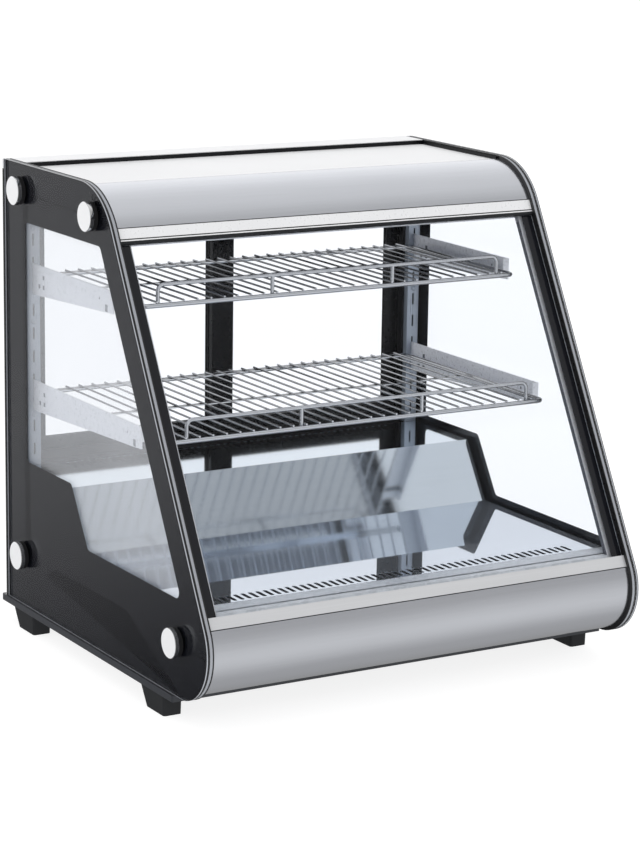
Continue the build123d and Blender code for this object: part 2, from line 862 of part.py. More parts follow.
# Wire shelves: rod frame with a front guard, and a welded grid of wires on flat strips
shelf_rear_y = pilaster_face - shelf_rear_gap
wire_pitch = 2 * shelf_half_width / wire_gaps
post_offset = wire_radius + guard_rod + seat_gap
guard_half_width = shelf_half_width - wire_pitch - post_offset
guard_middle = shelf_half_width - (guard_step + 1) * wire_pitch + post_offset
for name, rail_z, rail_front_y in (
    ("upper", upper_rail, upper_rail_front),
    ("lower", lower_rail, lower_rail_front),
):
    shelf_depth = shelf_rear_y - rail_front_y
    guard_y = rail_front_y + shelf_rod + guard_rod - wire_sink
    wire_z = rail_z + shelf_rod + wire_radius + seat_gap / 3
    with BuildPart() as shelf_frame:
        with BuildLine(Plane.XY.offset(rail_z)):
            FilletPolyline(
                (0, rail_front_y),
                (shelf_half_width, rail_front_y),
                (shelf_half_width, shelf_rear_y),
                (0, shelf_rear_y),
                radius=shelf_corner,
            )
        with BuildSketch(Plane(origin=(0, rail_front_y, rail_z), z_dir=(1, 0, 0))):
            Circle(shelf_rod)
        sweep()
        mirror(about=Plane.YZ)
        with BuildLine(Plane.XZ.offset(-guard_y)):
            FilletPolyline(
                (-guard_half_width, rail_z),
                (-guard_half_width, rail_z + guard_height),
                (guard_half_width, rail_z + guard_height),
                (guard_half_width, rail_z),
                radius=guard_corner,
            )
        with BuildSketch(Plane(origin=(-guard_half_width, guard_y, rail_z), z_dir=(0, 0, 1))):
            Circle(guard_rod)
        sweep()
        for middle_x in (-guard_middle, guard_middle):
            with BuildSketch(Plane(origin=(middle_x, guard_y, rail_z), z_dir=(0, 0, 1))):
                Circle(guard_rod)
            extrude(amount=guard_height)
    shelf_frame.part.label = f"{name}_shelf_frame"
    export_step(shelf_frame.part, f"parts/{name}_shelf_frame.step")

    wire_start = rail_front_y - shelf_rod / 2
    wire_end = shelf_rear_y + shelf_rod / 2
    strip_z = wire_z - wire_radius + wire_sink - strip_sheet
    with BuildPart() as shelf_grid:
        with BuildSketch(Plane.XZ.offset(-wire_start)):
            with Locations((0, wire_z)):
                with GridLocations(wire_pitch, 0, wire_gaps - 1, 1):
                    Circle(wire_radius)
        extrude(amount=-(wire_end - wire_start))
        for strip_share in (0.5, 1.0):
            strip_y = rail_front_y + shelf_depth * strip_share - strip_set_back * (strip_share * 2 - 1)
            with BuildSketch(Plane.XY.offset(strip_z)):
                with Locations((0, strip_y)):
                    Rectangle(2 * (shelf_half_width - shelf_rod - seat_gap), strip_width)
            extrude(amount=strip_sheet)
    shelf_grid.part.label = f"{name}_shelf_grid"
    export_step(shelf_grid.part, f"parts/{name}_shelf_grid.step")

# Deck: polished tray that covers the floor, slotted along the front for the air
deck_front = front + deck_set_back
deck_rear = rear - riser_foot
slot_y = deck_front + deck_slot_set
with BuildPart() as deck:
    with BuildSketch(Plane.YZ):
        with BuildLine():
            Polyline(
                (deck_front, deck_height - deck_lip),
                (deck_front, deck_height),
                (deck_rear, deck_height),
                (deck_rear, deck_height - sheet),
                (deck_front + sheet, deck_height - sheet),
                (deck_front + sheet, deck_height - deck_lip),
                close=True,
            )
        make_face()
    extrude(amount=span, both=True)
    for side in (-1, 1):
        with BuildSketch(Plane.YZ.offset(side * span)):
            with Locations((deck_front, deck_height - deck_lip)):
                Rectangle(deck_rear - deck_front, deck_lip, align=(Align.MIN, Align.MIN))
        extrude(amount=-side * sheet)
    with BuildSketch(Plane.XY.offset(deck_height)):
        with Locations((0, slot_y)):
            with GridLocations(deck_slot_pitch, 0, deck_slot_count, 1):
                SlotOverall(deck_slot_length, deck_slot_width, rotation=90)
    extrude(amount=-sheet, mode=Mode.SUBTRACT)
deck.part.label = "deck"
export_step(deck.part, "parts/deck.step")

# Insulated tub under the deck, with a shallow gutter in front of it
tub_top = deck_height - deck_lip
tub_bottom = tub_top - tub_thickness
tub_front_y = level_y(tub_top, channel_back + seat_gap)
with BuildPart() as insulated_tub:
    with BuildSketch(Plane.YZ):
        Polygon(
            (tub_front_y, tub_bottom),
            (tub_front_y, tub_top),
            (band_front, tub_top),
            (band_front, tub_bottom),
            align=None,
        )
    extrude(amount=span, both=True)
insulated_tub.part.label = "insulated_tub"
export_step(insulated_tub.part, "parts/insulated_tub.step")

# Evaporator cover: sloping riser and air shelf in one folded sheet, slotted at the rear
riser_rise = air_shelf_height - deck_height
riser_run = riser_rise * tan(radians(riser_angle))
riser_top_y = deck_rear + riser_run
fold = sheet * tan(radians(90 - riser_angle) / 2)
foot_y = deck_rear + seat_gap
cover_rear = band_front - seat_gap
air_slot_y = cover_rear - air_slot_set - air_slot_length / 2
with BuildPart() as evaporator_cover:
    with BuildSketch(Plane.YZ):
        Polygon(
            (foot_y, tub_top),
            (foot_y, deck_height),
            (foot_y + riser_run, air_shelf_height),
            (cover_rear, air_shelf_height),
            (cover_rear, air_shelf_height - sheet),
            (foot_y + riser_run + fold, air_shelf_height - sheet),
            (foot_y + sheet, deck_height - sheet / 4),
            (foot_y + sheet, tub_top),
            align=None,
        )
    extrude(amount=span, both=True)
    with BuildSketch(Plane.XY.offset(air_shelf_height)):
        with Locations((0, air_slot_y)):
            with GridLocations(air_slot_pitch, 0, air_slot_count, 1):
                Rectangle(air_slot_width, air_slot_length)
    extrude(amount=-sheet, mode=Mode.SUBTRACT)
evaporator_cover.part.label = "evaporator_cover"
export_step(evaporator_cover.part, "parts/evaporator_cover.step")

# Top panel and the black rim round three of its sides
top_front = brow_rear + seat_gap
top_rear = rear - rear_band - rim_width
top_high = cabinet_height - top_set
rim_x = liner_x - seat_gap
with BuildPart() as top_panel:
    with BuildSketch(Plane.XY.offset(top_high)):
        with Locations((0, top_front)):
            Rectangle(2 * (rim_x - rim_width), top_rear - top_front, align=(Align.CENTER, Align.MIN))
    extrude(amount=-top_sheet)
top_panel.part.label = "top_panel"
export_step(top_panel.part, "parts/top_panel.step")

with BuildPart() as top_panel_rim:
    with BuildSketch(Plane.XY.offset(top_high)):
        with Locations((0, top_front)):
            Rectangle(2 * rim_x, top_rear + rim_width - top_front, align=(Align.CENTER, Align.MIN))
            Rectangle(
                2 * (rim_x - rim_width),
                top_rear - top_front,
                align=(Align.CENTER, Align.MIN),
                mode=Mode.SUBTRACT,
            )
    extrude(amount=-rim_depth)
top_panel_rim.part.label = "top_panel_rim"
export_step(top_panel_rim.part, "parts/top_panel_rim.step")

# Ceiling liner and the lamp under its front edge
liner_front = level_y(ceiling_height, channel_back + seat_gap)
with BuildPart() as ceiling_liner:
    with BuildSketch(Plane.YZ):
        Polygon(
            (liner_front, ceiling_height + cover_return),
            (liner_front, ceiling_height),
            (band_front - seat_gap, ceiling_height),
            (band_front - seat_gap, ceiling_height + sheet),
            (liner_front + sheet, ceiling_height + sheet),
            (liner_front + sheet, ceiling_height + cover_return),
            align=None,
        )
    extrude(amount=span, both=True)
ceiling_liner.part.label = "ceiling_liner"
export_step(ceiling_liner.part, "parts/ceiling_liner.step")

light_y = liner_front + light_set
light_half = span - light_width
light_low = ceiling_height - light_height
with BuildPart() as light_bar:
    with BuildSketch(Plane.YZ):
        with Locations((light_y, ceiling_height)):
            Rectangle(light_width, light_height, align=(Align.CENTER, Align.MAX))
        with Locations((light_y, light_low)):
            Rectangle(
                light_width - 2 * trim_wall,
                light_height - trim_wall,
                align=(Align.CENTER, Align.MIN),
                mode=Mode.SUBTRACT,
            )
    extrude(amount=light_half, both=True)
light_bar.part.label = "light_bar"
export_step(light_bar.part, "parts/light_bar.step")

with BuildPart() as light_diffuser:
    with BuildSketch(Plane.YZ):
        with Locations((light_y, light_low)):
            Rectangle(light_width - 2 * trim_wall, diffuser_thickness, align=(Align.CENTER, Align.MIN))
    extrude(amount=light_half, both=True)
light_diffuser.part.label = "light_diffuser"
export_step(light_diffuser.part, "parts/light_diffuser.step")

# Evaporator coil on the tub floor, behind the riser
coil_y = (riser_top_y + cover_rear) / 2
coil_x = -span / 4


def finned_coil(centre_x, centre_y, low, length, depth, height, name):
    """A tube and fin heat exchanger: grooved fin pack, end plates and return bends"""
    tube_radius = fin_groove
    tube_rows = 3
    with BuildPart() as coil:
        with BuildSketch(Plane.XY.offset(low)):
            with Locations((centre_x, centre_y)):
                Rectangle(length, depth)
        extrude(amount=height)
        with BuildSketch(Plane.XY.offset(low + height)):
            for edge_y in (-depth / 2, depth / 2):
                with Locations((centre_x, centre_y + edge_y)):
                    with GridLocations(fin_pitch, 0, int((length - fin_pitch) / fin_pitch), 1):
                        Rectangle(fin_groove, depth / 2)
        extrude(amount=-height, mode=Mode.SUBTRACT)
        for side in (-1, 1):
            for row in range(tube_rows):
                bend_z = low + height * (row + 0.5) / tube_rows
                bend_plane = Plane(
                    origin=(centre_x + side * length / 2, centre_y, bend_z),
                    x_dir=(0, 1, 0),
                    z_dir=(0, 0, 1),
                )
                with BuildLine(bend_plane) as bend:
                    CenterArc((0, 0), depth / 4, 180 if side > 0 else 0, 180)
                with BuildSketch(Plane(origin=bend.line @ 0, z_dir=bend.line % 0)):
                    Circle(tube_radius)
                sweep()
    coil.part.label = name
    export_step(coil.part, f"parts/{name}.step")


finned_coil(coil_x, coil_y, tub_top, coil_length, coil_depth, coil_height, "evaporator_coil")


def axial_fan(motor_name, blade_name, hub_x, hub_y, hub_z, floor):
    """A shaded pole motor on a foot and its bladed rotor, blowing along Y"""
    motor_plane = Plane(origin=(hub_x, hub_y, hub_z), x_dir=(1, 0, 0), z_dir=(0, 1, 0))
    with BuildPart() as motor:
        with BuildSketch(motor_plane):
            Circle(fan_motor_radius)
        extrude(amount=fan_motor_length)
        with BuildSketch(Plane.XY.offset(floor)):
            with Locations((hub_x, hub_y + fan_motor_length / 2)):
                Rectangle(fan_motor_radius, fan_motor_length)
        extrude(amount=hub_z - floor)
        with BuildSketch(motor_plane):
            Circle(shaft_radius)
        extrude(amount=-(fan_hub_length + 2 * fan_hub_gap))
    motor.part.label = motor_name
    export_step(motor.part, f"parts/{motor_name}.step")

    rotor_plane = motor_plane.offset(-fan_hub_gap)
    with BuildPart() as rotor:
        with BuildSketch(rotor_plane):
            Circle(fan_hub_radius)
        extrude(amount=-fan_hub_length)
        for index in range(fan_blades):
            spoke = Plane(
                origin=(hub_x, hub_y - fan_hub_gap - fan_hub_length / 2, hub_z), x_dir=(0, 1, 0), z_dir=(1, 0, 0)
            )
            turned = Plane(spoke.location * Location((0, 0, 0), (360 / fan_blades * index, 0, 0)))
            for distance, twist, chord in (
                (fan_root_radius, fan_root_angle, fan_root_chord),
                (fan_radius, fan_tip_angle, fan_tip_chord),
            ):
                with BuildSketch(turned.offset(distance)):
                    Rectangle(chord, fan_blade_sheet, rotation=90 - twist)
            loft()
        with BuildSketch(rotor_plane):
            Circle(shaft_radius + shaft_clearance)
        extrude(amount=-fan_hub_length, mode=Mode.SUBTRACT)
    rotor.part.label = blade_name
    export_step(rotor.part, f"parts/{blade_name}.step")


evaporator_fan_x = coil_x + coil_length / 2 + fan_bay
evaporator_fan_z = tub_top + fan_radius + shaft_radius
axial_fan(
    "evaporator_fan_motor", "evaporator_fan_blade", evaporator_fan_x, coil_y, evaporator_fan_z, tub_top
)

# Condensing set on the tray floor
condenser_x = -span / 2
condenser_y = tray_middle - span / 4
condenser_height = tub_bottom - floor_top - 2 * seat_gap
finned_coil(
    condenser_x, condenser_y, floor_top, condenser_length, condenser_depth, condenser_height, "condenser"
)
condenser_fan_y = condenser_y + condenser_depth / 2 + fan_hub_length + condenser_fan_space
condenser_fan_z = floor_top + condenser_height / 2
axial_fan(
    "condenser_fan_motor", "condenser_fan_blade", condenser_x, condenser_fan_y, condenser_fan_z, floor_top
)

compressor_x = span / 2
weld_height = compressor_height * weld_share
with BuildPart() as compressor:
    with BuildSketch(Plane.XY.offset(floor_top)):
        with Locations((compressor_x, tray_middle)):
            RectangleRounded(compressor_plate_length, compressor_plate_width, compressor_plate_corner)
    extrude(amount=foot_plate)
    with BuildSketch(Plane.XY.offset(floor_top)):
        with Locations((compressor_x, tray_middle)):
            Circle(compressor_radius)
    extrude(amount=compressor_height)
    crown = compressor.edges().filter_by(GeomType.CIRCLE).sort_by(Axis.Z)[-1]
    fillet(crown, compressor_dome)
    with BuildSketch(Plane.XY.offset(floor_top + weld_height)):
        with Locations((compressor_x, tray_middle)):
            Circle(compressor_radius + weld_bead)
    extrude(amount=2 * weld_bead)
    with BuildSketch(Plane.XY.offset(floor_top + foot_plate)):
        with Locations((compressor_x, tray_middle)):
            with GridLocations(bolt_spacing, bolt_row_spacing, 2, 2):
                Circle(bolt_radius)
    extrude(amount=bolt_height)
compressor.part.label = "compressor"
export_step(compressor.part, "parts/compressor.step")

# Rear service panel with louvres and cut-outs for the controls
service_low = tray_top + seat_gap + panel_bottom
service_high = sill_bottom - seat_gap
service_middle = (service_low + service_high) / 2
service_face = rear - sheet
service_half = post_x - seat_gap
control_z = service_high - bezel_height
controller_x = -service_half / 2
display_x = controller_x - bezel_width / 2 + display_width / 2 + display_margin
key_first_x = display_x + display_width / 2 + key_width
key_names = ("set_key", "up_key", "down_key")
key_places = [key_first_x + index * (key_width + key_gap) for index in range(len(key_names))]
rocker_places = (("power_switch", service_half / 3), ("light_switch", service_half / 3 + 3 * rocker_width))
gland_x = service_half - gland_set_in
gland_z = service_low + gland_rise
panel_plane = Plane(origin=(0, rear, 0), x_dir=(-1, 0, 0), z_dir=(0, 1, 0))
with BuildPart() as service_panel:
    with BuildSketch(panel_plane):
        with Locations((0, service_middle)):
            Rectangle(2 * service_half, service_high - service_low)
        with Locations((-controller_x, control_z)):
            Rectangle(
                bezel_width - 2 * bezel_border, bezel_height - 2 * bezel_border, mode=Mode.SUBTRACT
            )
        for _, rocker_x in rocker_places:
            with Locations((-rocker_x, control_z)):
                Rectangle(rocker_width + rocker_border, rocker_height + rocker_border, mode=Mode.SUBTRACT)
        with Locations((-gland_x, gland_z)):
            Circle(gland_neck, mode=Mode.SUBTRACT)
        louvre_z = service_low + louvre_pitch * (louvre_rows + 1) / 2
        with Locations((service_half / 2, louvre_z), (-service_half / 3, louvre_z)):
            with GridLocations(0, louvre_pitch, 1, louvre_rows):
                SlotOverall(louvre_length, louvre_height, mode=Mode.SUBTRACT)
    extrude(amount=-sheet)
service_panel.part.label = "service_panel"
export_step(service_panel.part, "parts/service_panel.step")

# Digital controller: bezel with a display window and three sprung keys
with BuildPart() as controller_bezel:
    with BuildSketch(panel_plane):
        with Locations((-controller_x, control_z)):
            RectangleRounded(bezel_width, bezel_height, bezel_corner)
    extrude(amount=bezel_proud)
    with BuildSketch(panel_plane):
        with Locations((-controller_x, control_z)):
            Rectangle(
                bezel_width - 2 * bezel_border - 2 * seat_gap, bezel_height - 2 * bezel_border - 2 * seat_gap
            )
    extrude(amount=-bezel_back)
    with BuildSketch(panel_plane.offset(bezel_proud)):
        with Locations((-display_x, control_z)):
            Rectangle(display_width, display_height)
    extrude(amount=-bezel_proud, mode=Mode.SUBTRACT)
    with BuildSketch(panel_plane.offset(bezel_proud)):
        for key_x in key_places:
            with Locations((-key_x, control_z)):
                Rectangle(key_width + 2 * seat_gap, key_height + 2 * seat_gap)
    extrude(amount=-bezel_proud - 2 * key_travel, mode=Mode.SUBTRACT)
controller_bezel.part.label = "controller_bezel"
export_step(controller_bezel.part, "parts/controller_bezel.step")

with BuildPart() as controller_display:
    with BuildSketch(panel_plane):
        with Locations((-display_x, control_z)):
            Rectangle(display_width - 2 * seat_gap, display_height - 2 * seat_gap)
    extrude(amount=bezel_proud - seat_gap)
controller_display.part.label = "controller_display"
export_step(controller_display.part, "parts/controller_display.step")

for key_name, key_x in zip(key_names, key_places):
    with BuildPart() as key:
        with BuildSketch(panel_plane.offset(-key_travel)):
            with Locations((-key_x, control_z)):
                Rectangle(key_width, key_height)
        extrude(amount=key_travel + bezel_proud + key_proud)
        fillet(key.faces().sort_by(Axis.Y)[-1].edges(), key_travel / 2)
    key.part.label = key_name
    export_step(key.part, f"parts/{key_name}.step")

# Rocker switches: each rocks on two short pins held in the side walls of its frame
rocker_pivot_y = rear + bezel_proud - rocker_pivot_depth
with BuildPart() as switch_frames:
    for _, rocker_x in rocker_places:
        with BuildSketch(panel_plane):
            with Locations((-rocker_x, control_z)):
                RectangleRounded(
                    rocker_width + 2 * rocker_border, rocker_height + 2 * rocker_border, rocker_border / 2
                )
        extrude(amount=bezel_proud)
        with BuildSketch(panel_plane):
            with Locations((-rocker_x, control_z)):
                Rectangle(
                    rocker_width + rocker_border - 2 * seat_gap, rocker_height + rocker_border - 2 * seat_gap
                )
        extrude(amount=-bezel_back)
        with BuildSketch(panel_plane.offset(bezel_proud)):
            with Locations((-rocker_x, control_z)):
                Rectangle(rocker_width + seat_gap, rocker_height + 2 * rocker_end_gap)
        extrude(amount=-bezel_back, mode=Mode.SUBTRACT)
        rocker_axis = Plane(origin=(rocker_x, rocker_pivot_y, control_z), x_dir=(0, 1, 0), z_dir=(1, 0, 0))
        with BuildSketch(rocker_axis):
            Circle(rocker_pin_radius + shaft_clearance)
        extrude(amount=rocker_width / 2 + rocker_pin_length + seat_gap, both=True, mode=Mode.SUBTRACT)
switch_frames.part.label = "switch_frames"
export_step(switch_frames.part, "parts/switch_frames.step")

rocker_rise = rocker_height / 2 * tan(radians(rocker_angle))
rocker_end = rocker_height / 2 - seat_gap
rocker_back = -rocker_rise
for rocker_name, rocker_x in rocker_places:
    rocker_axis = Plane(origin=(rocker_x, rocker_pivot_y, control_z), x_dir=(0, 1, 0), z_dir=(1, 0, 0))
    with BuildPart() as rocker:
        with BuildSketch(rocker_axis):
            with BuildLine():
                dish = ThreePointArc(
                    (rocker_pivot_depth - rocker_rise, -rocker_end),
                    (rocker_pivot_depth - rocker_dish, 0),
                    (rocker_pivot_depth + rocker_rise, rocker_end),
                )
                top = Line(dish @ 1, (rocker_back, rocker_end - rocker_rise))
                heel = ThreePointArc(
                    top @ 1, (rocker_back - rocker_height / 4, 0), (rocker_back, rocker_rise - rocker_end)
                )
                Line(heel @ 1, dish @ 0)
            make_face()
        extrude(amount=rocker_width / 2, both=True)
        with BuildSketch(rocker_axis):
            Circle(rocker_pin_radius)
        extrude(amount=rocker_width / 2 + rocker_pin_length, both=True)
    rocker.part.label = rocker_name
    export_step(rocker.part, f"parts/{rocker_name}.step")

# Cable gland where the mains lead enters
with BuildPart() as cable_gland:
    with BuildSketch(panel_plane):
        with Locations((-gland_x, gland_z)):
            RegularPolygon(gland_radius, 6)
    extrude(amount=gland_length / 2)
    with BuildSketch(panel_plane):
        with Locations((-gland_x, gland_z)):
            Circle(gland_neck - seat_gap)
    extrude(amount=-gland_length / 2)
    with BuildSketch(panel_plane.offset(gland_length / 2)):
        with Locations((-gland_x, gland_z)):
            Circle(gland_bore)
    extrude(amount=-gland_length, mode=Mode.SUBTRACT)
cable_gland.part.label = "cable_gland"
export_step(cable_gland.part, "parts/cable_gland.step")
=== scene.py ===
import json
import math

import bmesh
import bpy
from mathutils import Matrix, Vector


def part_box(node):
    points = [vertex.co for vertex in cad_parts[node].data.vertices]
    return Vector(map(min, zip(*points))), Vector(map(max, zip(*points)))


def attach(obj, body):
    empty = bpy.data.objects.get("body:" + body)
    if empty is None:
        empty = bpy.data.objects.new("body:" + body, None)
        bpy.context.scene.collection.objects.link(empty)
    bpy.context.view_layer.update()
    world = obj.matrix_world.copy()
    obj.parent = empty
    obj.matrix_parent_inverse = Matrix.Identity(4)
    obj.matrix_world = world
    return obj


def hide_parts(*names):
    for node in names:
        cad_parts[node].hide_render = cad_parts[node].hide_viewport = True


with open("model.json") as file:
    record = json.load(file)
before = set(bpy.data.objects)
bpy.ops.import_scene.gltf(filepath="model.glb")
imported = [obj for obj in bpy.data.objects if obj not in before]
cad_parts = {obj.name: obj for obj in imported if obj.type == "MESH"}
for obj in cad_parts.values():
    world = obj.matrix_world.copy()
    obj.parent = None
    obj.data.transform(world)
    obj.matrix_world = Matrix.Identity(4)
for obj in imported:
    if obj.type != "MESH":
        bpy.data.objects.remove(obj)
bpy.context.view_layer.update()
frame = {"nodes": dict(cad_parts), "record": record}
nodes = frame["nodes"]
scene = bpy.context.scene


class Value:
    """One output in a finish's node tree, so that shader maths reads as arithmetic"""

    def __init__(self, finish, socket):
        self.finish = finish
        self.socket = socket

    def maths(self, operation, first, second):
        return self.finish.node("ShaderNodeMath", {"operation": operation}, {0: first, 1: second})

    def __add__(self, other):
        return self.maths("ADD", self, other)

    def __radd__(self, other):
        return self.maths("ADD", other, self)

    def __sub__(self, other):
        return self.maths("SUBTRACT", self, other)

    def __rsub__(self, other):
        return self.maths("SUBTRACT", other, self)

    def __mul__(self, other):
        return self.maths("MULTIPLY", self, other)

    def __rmul__(self, other):
        return self.maths("MULTIPLY", other, self)

    def __truediv__(self, other):
        return self.maths("DIVIDE", self, other)

    def __rtruediv__(self, other):
        return self.maths("DIVIDE", other, self)

    def __pow__(self, other):
        return self.maths("POWER", self, other)

    def __gt__(self, other):
        return self.maths("GREATER_THAN", self, other)

    def __lt__(self, other):
        return self.maths("LESS_THAN", self, other)

    def modulo(self, other):
        return self.maths("FLOORED_MODULO", self, other)

    def size(self):
        return self.finish.node("ShaderNodeMath", {"operation": "ABSOLUTE"}, {0: self})

    def between(self, low, high):
        """1 where the value lies between two others, and 0 elsewhere"""
        return (self > low) * (self < high)

    def ramp(self, low, high, to_low=0.0, to_high=1.0):
        """The value carried from one range to another and held at its ends"""
        return self.finish.node(
            "ShaderNodeMapRange",
            {"clamp": True},
            {"Value": self, "From Min": low, "From Max": high, "To Min": to_low, "To Max": to_high},
        )


class Finish:
    """A procedural finish, or the studio around the case, whose nodes are made by one method"""

    def __init__(self, name, owner=None):
        self.material = owner or bpy.data.materials.new(name)
        self.material.use_nodes = True
        self.tree = self.material.node_tree
        self.tree.nodes.clear()
        self.surface = self.tree.nodes.new("ShaderNodeOutputWorld" if owner else "ShaderNodeOutputMaterial")

    def node(self, kind, settings=None, inputs=None, output=0):
        made = self.tree.nodes.new(kind)
        for name, setting in (settings or {}).items():
            if name == "stops":
                made.color_ramp.interpolation = "EASE"
                while len(made.color_ramp.elements) < len(setting):
                    made.color_ramp.elements.new(0.5)
                for element, (place, colour) in zip(made.color_ramp.elements, setting):
                    element.position = place
                    element.color = (*colour, 1)
            else:
                setattr(made, name, setting)
        for name, value in (inputs or {}).items():
            socket = made.inputs[name]
            if isinstance(value, Value):
                self.tree.links.new(value.socket, socket)
            elif isinstance(value, tuple) and len(value) != len(socket.default_value):
                socket.default_value = (*value, 1)
            else:
                socket.default_value = value
        return Value(self, made.outputs[output])

    def place(self, scale=(1, 1, 1)):
        """Object coordinates in metres, stretched along each axis"""
        point = self.node("ShaderNodeTexCoord", None, None, "Object")
        return self.node("ShaderNodeMapping", None, {"Vector": point, "Scale": scale})

    def axes(self, vector):
        """The three numbers of a vector"""
        split = self.node("ShaderNodeSeparateXYZ", None, {"Vector": vector})
        return [Value(self, output) for output in split.socket.node.outputs]

    def noise(self, vector, scale, detail=2.0, roughness=0.5):
        return self.node(
            "ShaderNodeTexNoise",
            None,
            {"Vector": vector, "Scale": scale, "Detail": detail, "Roughness": roughness},
        )

    def blend(self, share, first, second):
        """Two colours mixed by a share"""
        return self.node("ShaderNodeMix", {"data_type": "RGBA"}, {0: share, 6: first, 7: second}, 2)

    def mix(self, share, first, second):
        """Two shaders mixed by a share"""
        return self.node("ShaderNodeMixShader", None, {0: share, 1: first, 2: second})

    def bump(self, height, distance, strength=1.0):
        return self.node(
            "ShaderNodeBump", None, {"Height": height, "Distance": distance, "Strength": strength}
        )

    def principled(self, **sockets):
        named = {name.replace("_", " "): value for name, value in sockets.items()}
        return self.node("ShaderNodeBsdfPrincipled", None, named)

    def solid(self, **sockets):
        """A Principled shader with its sockets, shown on the surface"""
        return self.show(self.principled(**sockets))

    def show(self, shader):
        self.tree.links.new(shader.socket, self.surface.inputs["Surface"])
        return self.material


def brushed(name, colour, roughness, stretch, metallic=1.0, depth=0.000004):
    """Sheet metal with fine straight brush lines; stretch is the noise scale along each axis"""
    line_share = 0.7
    cloud_share = 0.3
    darkest = 0.94
    finish = Finish(name)
    lines = finish.noise(finish.place(scale=stretch), 1.0, 3.0, 0.6)
    cloud = finish.noise(finish.place(), 7.0, 2.0)
    shade = lines.ramp(0.3, 0.7) * line_share + cloud.ramp(0.3, 0.7) * cloud_share
    dark = tuple(part * darkest for part in colour)
    return finish.solid(
        Base_Color=finish.blend(shade, dark, colour),
        Metallic=metallic,
        Roughness=lines.ramp(0.25, 0.75, roughness * 0.85, roughness * 1.2),
        Normal=finish.bump(lines, depth, 0.5),
    )


coat_peel = 0.000002


def coated(name, colour, roughness, metallic=0.0, gloss=0.5):
    """Powder coat or lacquer with a faint orange peel and slightly uneven colour"""
    finish = Finish(name)
    skin = finish.noise(finish.place(), 260.0, 2.0)
    cloud = finish.noise(finish.place(), 6.0, 3.0)
    darker = tuple(part * 0.97 for part in colour)
    return finish.solid(
        Base_Color=finish.blend(cloud.ramp(0.35, 0.65), darker, colour),
        Metallic=metallic,
        Roughness=skin.ramp(0.3, 0.7, roughness * 0.85, roughness * 1.15),
        Specular_IOR_Level=gloss,
        Normal=finish.bump(skin, coat_peel, 0.5),
    )


def moulded(name, colour, roughness):
    """Moulded plastic or rubber with a fine spark-eroded grain"""
    grain_depth = 0.00002
    finish = Finish(name)
    cells = finish.node("ShaderNodeTexVoronoi", {"feature": "F1"}, {"Vector": finish.place(), "Scale": 900.0})
    cloud = finish.noise(finish.place(), 12.0, 3.0)
    lighter = tuple(min(1, part * 1.25 + 0.002) for part in colour)
    return finish.solid(
        Base_Color=finish.blend(cloud.ramp(0.35, 0.65), colour, lighter),
        Roughness=cloud.ramp(0.3, 0.7, roughness * 0.9, roughness * 1.1),
        Specular_IOR_Level=0.25,
        Normal=finish.bump(cells, grain_depth, 0.4),
    )


def plated(name, colour, roughness):
    """Bright plating on wire: near mirror, with painted shade darkening it towards its outline, and faint
    polishing haze
    """
    finish = Finish(name)
    haze = finish.noise(finish.place(), 55.0, 4.0)
    darker = tuple(part * 0.96 for part in colour)
    # Painted shade: the colour darkens where the wire turns away, at its outline
    painted_shade_outline = tuple(part * 0.16 for part in colour)
    tint = finish.blend(haze.ramp(0.3, 0.7), darker, colour)
    facing = finish.node("ShaderNodeLayerWeight", None, {"Blend": 0.5}, "Facing")
    return finish.solid(
        Base_Color=finish.blend(facing.ramp(0.25, 0.75), tint, painted_shade_outline),
        Metallic=1.0,
        Roughness=haze.ramp(0.3, 0.7, roughness * 0.7, roughness * 1.3),
    )


def turned_cap(name):
    """Glass cap: polished rim and a satin white-metal face"""
    face_skin = 0.0003
    finish = Finish(name)
    across = finish.axes(finish.place())[0]
    face = across.size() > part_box("cap_discs")[1][0] - face_skin
    haze = finish.noise(finish.place(), 60.0, 3.0)
    rim = finish.blend(haze.ramp(0.3, 0.7), (0.80, 0.81, 0.82), (0.86, 0.87, 0.88))
    return finish.solid(
        Base_Color=finish.blend(face, rim, (0.93, 0.935, 0.95)),
        Metallic=1 - 0.85 * face,
        Roughness=haze.ramp(0.3, 0.7, 0.05, 0.08) + 0.3 * face,
    )


def glass_shader(finish):
    """Clear coated glass: nearly clear straight through, with a faint reflection and a little dust"""
    glass_tint = (0.984, 0.988, 0.995)
    dust = finish.noise(finish.place(), 30.0, 5.0, 0.7)
    through = finish.node("ShaderNodeBsdfTransparent", None, {"Color": glass_tint})
    mirror = finish.node("ShaderNodeBsdfGlossy", None, {"Roughness": dust.ramp(0.3, 0.8, 0.002, 0.01)})
    facing = finish.node("ShaderNodeLayerWeight", None, {"Blend": 0.5}, "Facing")
    return finish.mix(0.006 + 0.30 * facing**5, through, mirror)


def clear_pane(name):
    """Pane with nothing on its edge"""
    finish = Finish(name)
    return finish.show(glass_shader(finish))


def sealed_pane(name, inner, outer, highlight_line, haze=0.0):
    """Side pane between two distances from the middle: its ground edge is black with one bright painted
    highlight line, and haze, a pale diffuse film that is a painted reflection, veils the left pane"""
    face_skin = 0.00006
    finish = Finish(name)
    across = finish.axes(finish.place())[0]
    side = across.size()
    edge = side.between(inner + face_skin, outer - face_skin)
    grain = finish.noise(finish.place(), 500.0, 2.0)
    # Painted highlight: one bright line on the black ground edge
    arris = finish.principled(
        Base_Color=finish.blend(side.between(*highlight_line), (0.008, 0.008, 0.010), (0.44, 0.46, 0.50)),
        Metallic=0.0,
        Roughness=grain.ramp(0.3, 0.7, 0.25, 0.35),
    )
    pane = glass_shader(finish)
    if haze:
        # Painted reflection: a pale diffuse film lightens the left pane
        reflection_film = finish.node("ShaderNodeBsdfDiffuse", None, {"Color": (0.95, 0.96, 0.98)})
        cloud = finish.noise(finish.place(), 3.0, 3.0)
        reflection_veil = (across < 0.0) * cloud.ramp(0.3, 0.7, haze * 0.8, haze * 1.1)
        pane = finish.mix(reflection_veil, pane, reflection_film)
    return finish.show(finish.mix(edge, pane, arris))


